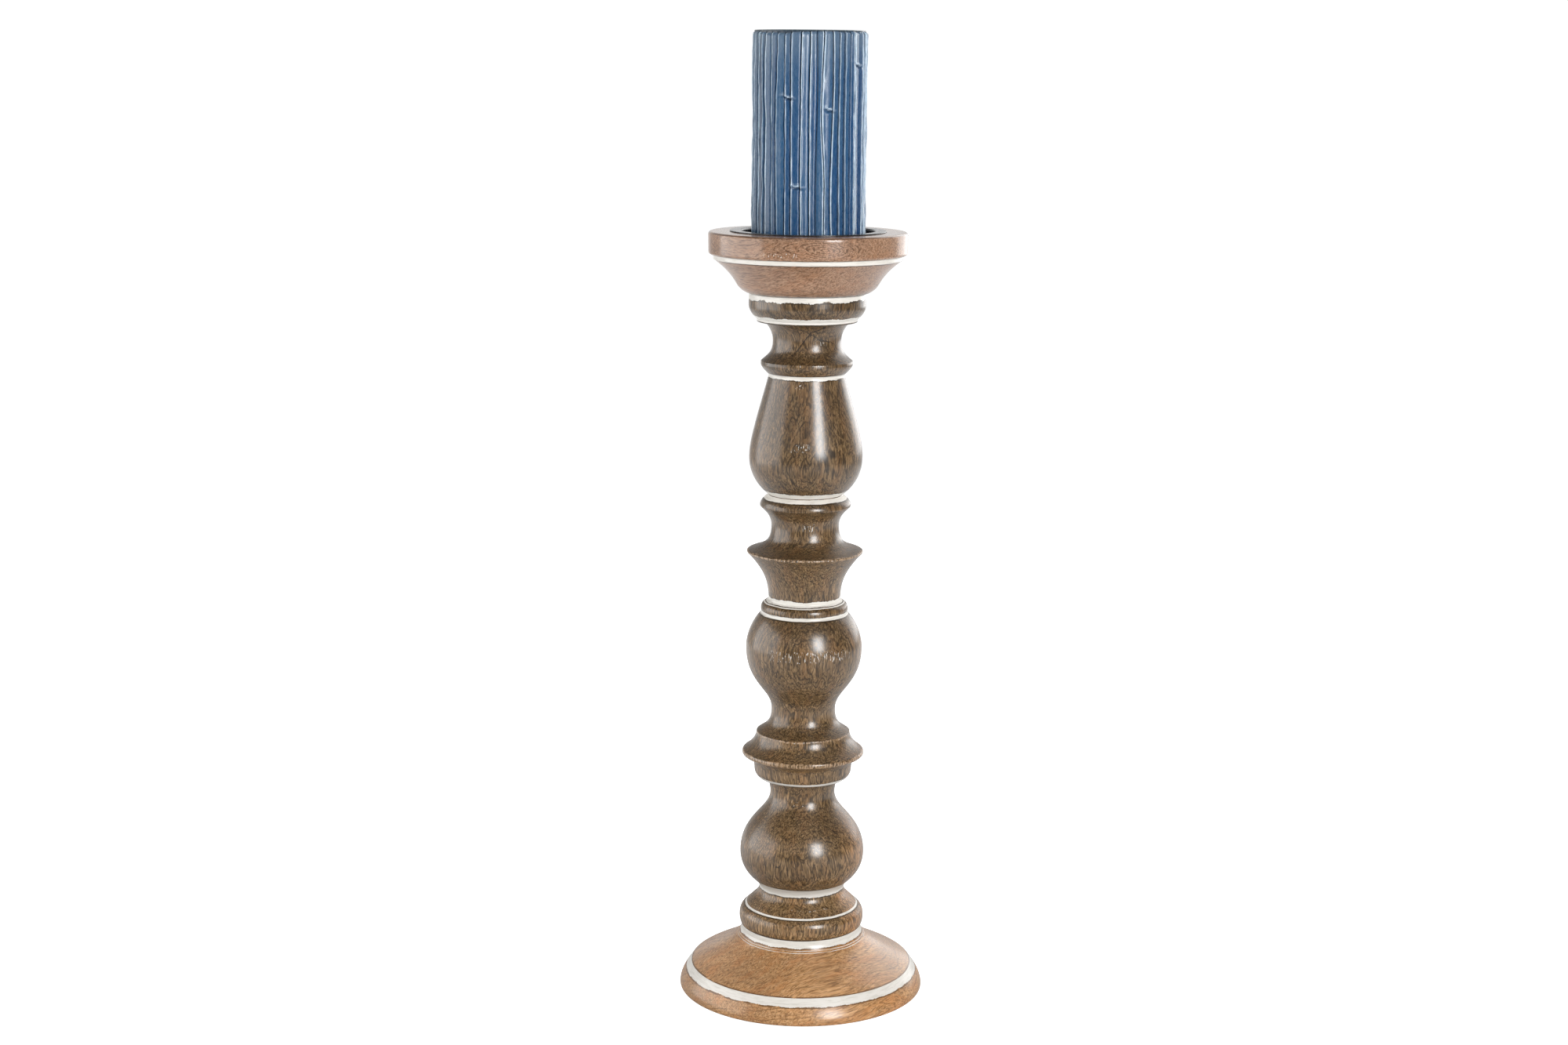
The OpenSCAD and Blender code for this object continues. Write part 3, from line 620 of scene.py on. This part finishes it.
def candle():
    low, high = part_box("candle_wax")
    radius, bottom, top = high.x / MM, low.z / MM, high.z / MM
    rng = random.Random(11)
    widths = np.array([rng.uniform(0.6, 1.4) for _ in range(RIBS)])
    starts = np.concatenate([[0], np.cumsum(widths)[:-1]]) / widths.sum() * 2 * pi
    sway = [smooth_line(rng, ((0.22, 150), (0.08, 50), (0.03, 17))) for _ in range(RIBS)]
    ribs = [
        {
            "tone": rng.uniform(0, 1),
            "proud": rng.uniform(0.0, 0.4),
            "deep": rng.uniform(1.3, 2.2),
            "lean": rng.uniform(-0.3, 0.4),
            "section": MIRRORED_SECTION if rng.random() < 0.25 else RIB_SECTION,
            "drop": rng.uniform(0.5, 1.2),
            "swell": smooth_line(rng, ((0.07, 70), (0.03, 23))),
            "ridge": smooth_line(rng, ((0.14, 50), (0.10, 19))),
        }
        for _ in range(RIBS)
    ]

    def edge(k, z):
        """The azimuth of the groove before rib k at a height."""
        angle = starts[k % RIBS] + sway[k % RIBS](z) / radius
        for azimuth, height, reach, pull in PINCHES:
            gap = turn_between(starts[k % RIBS], radians(azimuth))
            if abs(gap) < PINCH_WIDTH:
                angle -= gap * pull * np.exp(-((z - height) / reach) ** 2)
        return angle + (2 * pi if k >= RIBS else 0)

    rows = [bottom + (top - 0.4 - bottom) * i / ROWS for i in range(ROWS + 1)]
    rows += [height + SCAR_ROWS * i for _, height, _ in SCARS for i in range(-4, 5)]
    heights = []
    for z in sorted(rows + [bottom + 0.25, bottom + 0.6, top - 0.65, top - 1.0]):
        if not heights or z - heights[-1] > CLOSEST_ROWS:
            heights.append(z)
    points, marks, faces = [], [], []
    for z in heights:
        for k in range(RIBS):
            a, b, rib = edge(k, z), edge(k + 1, z), ribs[k]
            for place, height, crest in rib["section"]:
                angle = a + place * (b - a)
                x, y = radius * sin(angle), -radius * cos(angle)
                rise = height + crest * rib["ridge"](z) + rib["lean"] * (0.5 - place) * min(1, 2 * height)
                scar = lip = 0.0
                cut = rib["deep"] * (1.12 - rise) + rib["proud"] + rib["swell"](z)
                cut += 0.09 * ripple((x, y, z * 0.4), 1.6) + 0.08 * ripple((x, y, z), 9)
                for azimuth, scar_z, size in SCARS:
                    aside = radius * turn_between(angle, radians(azimuth))
                    up = z - scar_z + 0.2 * aside + 1.8 * (ripple((aside, 0.4, scar_z), 1.4) - 0.5)
                    if abs(aside) < 9 and abs(up) < 5:
                        scar = np.exp(-((aside / size) ** 2) - (up / 0.6) ** 2)
                        lip = np.exp(-((aside / size) ** 2) - ((up - 1.3) / 0.55) ** 2)
                        cut += SCAR_DEPTH * scar - LIP_HEIGHT * lip
                cut += WAIST * np.exp(-((z - 0.5 * (bottom + top)) / WAIST_REACH) ** 2)
                r = radius - max(0.02, cut)
                for gap in (top - 0.4 - z, (z - bottom) * 1.6):
                    if gap < ROUNDING:
                        r -= 1.3 * (1 - (1 - (1 - gap / ROUNDING) ** 2) ** 0.5)
                drop = rib["drop"] + 1.2 * np.exp(-(turn_between(angle, -0.55) / 0.35) ** 2)
                drop *= max(0.0, 1 - (top - z) / END_RAG) ** 2
                points.append((r * sin(angle), -r * cos(angle), z - drop))
                # painted highlight: pale on the crests and on the lip just above each scar; the groove mark
                # also darkens each scar's cut as painted shade
                painted_highlight = max(crest * (1 - scar) * (0.4 + 0.6 * (7.3 * rib["tone"] % 1)), 0.7 * lip)
                marks.append((rib["tone"], max(0.0, 1 - 2.4 * height, 0.8 * scar), painted_highlight, 0.0))
    around = RIBS * len(RIB_SECTION)
    for i in range(len(heights) - 1):
        for k in range(around):
            m = (k + 1) % around
            a, b = i * around, (i + 1) * around
            faces.append((a + k, a + m, b + m, b + k))

    def inward(profile, start, core):
        """Rings inside the ribs' end at start: each is a share of the way from it to a plain circle."""
        first = start
        for share, r, z in profile:
            base = len(points)
            for k in range(around):
                x, y, old = points[start + k]
                plain = Vector((x, y)).normalized() * r
                here = Vector((x, y)).lerp(plain, share)
                points.append((here.x, here.y, old + (z - old) * share))
                # rings outside the core's radius get a dark groove mark: a painted shadow line round the
                # rim's edge
                marks.append((0.5, 0.85 if r > CORE_RADIUS else 0.0, 0.0, core))
            for k in range(around):
                m = (k + 1) % around
                quad = (first + k, first + m, base + m, base + k)
                faces.append(quad if start else quad[::-1])
            first = base
        end = tuple(range(first, first + around))
        faces.append(end if start else end[::-1])

    # the ribs stop just short of the core's rim, which runs in to a shallow pool round the wick
    dish, wick_r, hole_r = top - 3.4, 1.0, 3.3
    inward(
        [(0.6, 33.3, top - 1.0), (1, 33.2, top - 0.7), (1, 33.05, top - 0.3), (1, 32.7, top - 0.12),
         (1, 31.9, top - 0.3), (1, 30.9, top - 1.4), (1, 29.6, top - 2.7),
         (1, 27, dish), (1, 18, dish - 0.1), (1, 10, dish - 0.2), (1, 4, dish - 0.1),
         (1, 2, dish + 0.25), (1, wick_r + 0.05, dish + 0.6), (1, wick_r, dish - 2)],
        (len(heights) - 1) * around, 1.0,
    )
    inward(
        [(0.5, 33.0, bottom), (1, 31.5, bottom), (1, 12, bottom), (1, hole_r + 0.3, bottom),
         (1, hole_r, bottom + 0.3), (1, hole_r, bottom + 4), (1, 1.0, bottom + 26), (1, 0.3, bottom + 26.4)],
        0, 0.0,
    )
    piece = add_mesh("candle_ribbed", points, faces, wax(), "candle", ["candle_wax"])
    for i, name in enumerate(MARKS):
        values = [m[i] for m in marks]
        piece.data.attributes.new(name, "FLOAT", "POINT").data.foreach_set("value", values)


candle()


# ---- The wick and the felt pads ----

def tube(points, faces, path, r, sides=10):
    """Adds a closed tube of radius r along the path."""
    start = len(points)
    for i, here in enumerate(path):
        way = (path[min(i + 1, len(path) - 1)] - path[max(i - 1, 0)]).normalized()
        across = way.cross(Vector((0.1, 1, 0))).normalized()
        other = way.cross(across)
        for k in range(sides):
            a = 2 * pi * k / sides
            points.append(tuple(here + r * (cos(a) * across + sin(a) * other)))
    for i in range(len(path) - 1):
        for k in range(sides):
            m, a, b = (k + 1) % sides, start + i * sides, start + (i + 1) * sides
            faces.append((a + k, b + k, b + m, a + m))
    faces.append(tuple(start + k for k in range(sides)))
    faces.append(tuple(start + (len(path) - 1) * sides + k for k in reversed(range(sides))))


def wick():
    low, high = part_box("wick")
    bottom, top, reach = low.z / MM, high.z / MM, high.x / MM
    strand, pitch = 0.46 * reach, 3.6
    points, faces = [], []
    count = 150
    for turn in range(3):
        path = []
        for i in range(count + 1):
            z = bottom + (top - bottom) * i / count
            a = 2 * pi * (turn / 3 + z / pitch)
            loose = 1.0 if i < count - 2 else 1.12
            out = (reach - strand) * loose * 0.96
            path.append(Vector((out * cos(a), out * sin(a), z)))
        tube(points, faces, path, strand * 0.97)
    s = Shader("cotton", Roughness=0.85, Sheen_Weight=0.3, Sheen_Roughness=0.5)
    yarn = s.noise(s.stretch(s.mm, 6, 6, 3), 4.0, 0.6)
    s.set("Base Color", s.ramp(yarn, (0.3, (0.55, 0.5, 0.42)), (0.7, (0.86, 0.83, 0.75))))
    s.bump(yarn, 0.6, 0.1)
    add_mesh("wick_plied", points, faces, s.material, "candle", ["wick"])


wick()


def felt():
    s = Shader("pressed_felt", Roughness=0.95, Sheen_Weight=0.5, Sheen_Roughness=0.6)
    fuzz = s.noise(s.stretch(s.mm, 3, 3, 3), 6.0, 0.7)
    s.set("Base Color", s.ramp(fuzz, (0.35, (0.018, 0.016, 0.014)), (0.7, (0.085, 0.078, 0.07))))
    s.bump(fuzz, 0.8, 0.3)
    return s.material


def felt_pads():
    """Four felt discs with rounded, slightly fuzzy edges."""
    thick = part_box("foot_pads")[1].z / MM
    mesh = nodes["foot_pads"].data
    xy = np.array([v.co[:2] for v in mesh.vertices]) / MM
    outline = [(0.01, 0.0), (3, 0), (5.6, 0), (6.5, 0.05), (6.85, 0.25), (6.97, 0.6), (6.97, 0.95),
               (6.85, 1.3), (6.5, thick), (3, thick), (0.01, thick)]
    sides = 64
    points, faces = [], []
    for quarter in range(4):
        inside = (xy[:, 0] > 0) == (quarter in (0, 3))
        inside &= (xy[:, 1] > 0) == (quarter in (0, 1))
        cx, cy = (xy[inside].max(0) + xy[inside].min(0)) / 2
        start = len(points)
        for r, z in outline:
            for k in range(sides):
                a = 2 * pi * k / sides
                x, y = r * cos(a), r * sin(a)
                share = 1 - 0.03 * ripple((x + 30 * quarter, y, z), 1.2) if r > 6 else 1
                points.append((cx + x * share, cy + y * share, z))
        for i in range(len(outline) - 1):
            for k in range(sides):
                m, a, b = (k + 1) % sides, start + i * sides, start + (i + 1) * sides
                faces.append((a + k, a + m, b + m, b + k))
        faces.append(tuple(start + k for k in reversed(range(sides))))
        faces.append(tuple(start + (len(outline) - 1) * sides + k for k in range(sides)))
    add_mesh("felt_pads", points, faces, felt(), "stand", ["foot_pads"])


felt_pads()


# ---- Metal ----

def enamel():
    s = Shader("black_enamel")
    dust = s.noise(s.stretch(s.mm, 0.6, 0.6, 0.6), 6.0, 0.7)
    colour = s.ramp(dust, (0.4, (0.012, 0.012, 0.014)), (0.75, (0.035, 0.036, 0.04)))
    s.set("Base Color", colour)
    s.set("Roughness", s.step(dust, 0.4, 0.8, 0.18, 0.34))
    s.bump(s.noise(s.stretch(s.mm, 0.5, 0.5, 0.5, 4), 2.0), 0.1, 0.1)
    return s.material


def zinc(name, tint):
    s = Shader(name, Metallic=1.0, Roughness=0.35)
    patch = s.noise(s.stretch(s.mm, 0.7, 0.7, 0.7), 4.0, 0.6)
    s.set("Base Color", s.ramp(patch, (0.35, tuple(0.72 * t for t in tint)), (0.7, tint)))
    s.set("Roughness", s.step(patch, 0.3, 0.75, 0.28, 0.5))
    s.bump(s.noise(s.stretch(s.mm, 0.9, 0.9, 6, 4), 3.0), 0.2, 0.05)
    return s.material


def dress(node_name, material):
    """Gives a CAD node a material."""
    for slot in nodes[node_name].material_slots:
        slot.material = material


dress("drip_pan", enamel())
bright_zinc = zinc("zinc", (0.62, 0.62, 0.63))
dress("spike", zinc("spike_steel", (0.5, 0.5, 0.51)))
for screw in ("pan_screws", "cup_screw", "base_screw", "base_washer"):
    dress(screw, bright_zinc)


# ---- Floor, light and camera ----

def floor():
    """A pale round studio table with a seamless edge, lit by the lamps, glowing white where the camera sees
    it and glowing more towards the sides, where the glow lights the object as a fill.
    """
    points, faces, sides, reach = [(0, 0, 0)], [], 96, 1500
    for r in (300, 700, reach):
        for k in range(sides):
            a = 2 * pi * k / sides
            points.append((r * cos(a), r * sin(a), 0))
    for k in range(sides):
        m = (k + 1) % sides
        faces.append((0, 1 + k, 1 + m))
        for i in range(2):
            a, b = 1 + i * sides, 1 + (i + 1) * sides
            faces.append((a + k, b + k, b + m, a + m))
    mesh = bpy.data.meshes.new("studio_floor")
    mesh.from_pydata((np.array(points) * MM).tolist(), [], faces)
    s = Shader(
        "pale_floor", Base_Color=(0.5, 0.5, 0.5), Roughness=0.8, Specular_IOR_Level=0.1,
        Emission_Color=(1, 1, 1),
    )
    # a glow seen only by the camera, so the floor shows white, and a glow rising towards the sides that
    # lights the object like a fill lamp
    aside = s.step(s.math("ABSOLUTE", s.x), 100.0, 420.0, 0.05, 0.55)
    s.set("Emission Strength", s.math("ADD", s.node("LightPath", {}), aside))
    mesh.materials.append(s.material)
    piece = bpy.data.objects.new("studio_floor", mesh)
    bpy.context.scene.collection.objects.link(piece)


def softbox(name, azimuth, elevation, distance, width, height, power, aim=(0, 0, 0.3)):
    """A rectangular area light in m and W, placed by azimuth from the front towards +X."""
    data = bpy.data.lights.new(name, "AREA")
    data.shape, data.size, data.size_y, data.energy = "RECTANGLE", width, height, power
    a, e = radians(azimuth), radians(elevation)
    away = Vector((sin(a) * cos(e), -cos(a) * cos(e), sin(e)))
    lamp = bpy.data.objects.new(name, data)
    lamp.location = Vector(aim) + away * distance
    lamp.rotation_mode = "QUATERNION"
    lamp.rotation_quaternion = away.to_track_quat("Z", "Y")
    bpy.context.scene.collection.objects.link(lamp)


def studio():
    """A white room behind and a darker one in front, with a strip light and two large softboxes."""
    world = bpy.data.worlds.new("studio")
    bpy.context.scene.world = world
    world.use_nodes = True
    tree = world.node_tree
    sky = tree.nodes["Background"]
    place = tree.nodes.new("ShaderNodeTexCoord").outputs["Generated"]
    split = tree.nodes.new("ShaderNodeSeparateXYZ")
    tree.links.new(place, split.inputs[0])
    both = tree.nodes.new("ShaderNodeMath")
    # brightness by direction: the dark front turning into the pale back, and the white wall right behind
    for place_in, ramp in enumerate(((-0.1, 0.75, 0.05, 0.5), (0.86, 0.98, 0.0, 0.5))):
        wall = tree.nodes.new("ShaderNodeMapRange")
        wall.interpolation_type = "SMOOTHSTEP"
        for index, value in enumerate(ramp, 1):
            wall.inputs[index].default_value = value
        tree.links.new(split.outputs["Y"], wall.inputs[0])
        tree.links.new(wall.outputs[0], both.inputs[place_in])
    seen = tree.nodes.new("ShaderNodeLightPath").outputs["Is Camera Ray"]
    pick = tree.nodes.new("ShaderNodeMix")
    pick.inputs[3].default_value = 1.05
    tree.links.new(seen, pick.inputs[0])
    tree.links.new(both.outputs[0], pick.inputs[2])
    tree.links.new(pick.outputs[0], sky.inputs["Strength"])
    sky.inputs["Color"].default_value = (1, 1, 1, 1)
    softbox("strip_right", 30, 17, 1.9, 0.55, 0.95, 37)
    softbox("softbox_left", -86, 6, 1.7, 2.2, 1.6, 33)
    softbox("softbox_top", 20, 78, 1.8, 1.4, 1.4, 4)
    softbox("softbox_back_right", 143, 22, 1.9, 1.4, 1.9, 19)
    softbox("front_fill", -25, 20, 2.6, 1.6, 1.2, 3)
    bpy.context.scene.view_settings.view_transform = "Standard"


def camera():
    """The view from the front, from near the height of the candle's top and looking a little down."""
    place = (0, -1.4921, 0.5772)
    yaw, pitch, roll = radians(-0.5), radians(10.579), radians(0.502)
    ahead = Vector((sin(yaw) * cos(pitch), cos(yaw) * cos(pitch), -sin(pitch)))
    right = Vector((cos(yaw), -sin(yaw), 0))
    up = right.cross(ahead)
    right, up = cos(roll) * right + sin(roll) * up, cos(roll) * up - sin(roll) * right
    data = bpy.data.cameras.new("camera")
    data.sensor_width, data.lens, data.clip_start = 36, 56.65, 0.05
    view = bpy.data.objects.new("camera", data)
    bpy.context.scene.collection.objects.link(view)
    view.matrix_world = Matrix.Translation(place) @ Matrix((right, up, -ahead)).transposed().to_4x4()
    bpy.context.scene.camera = view


floor()
studio()
camera()
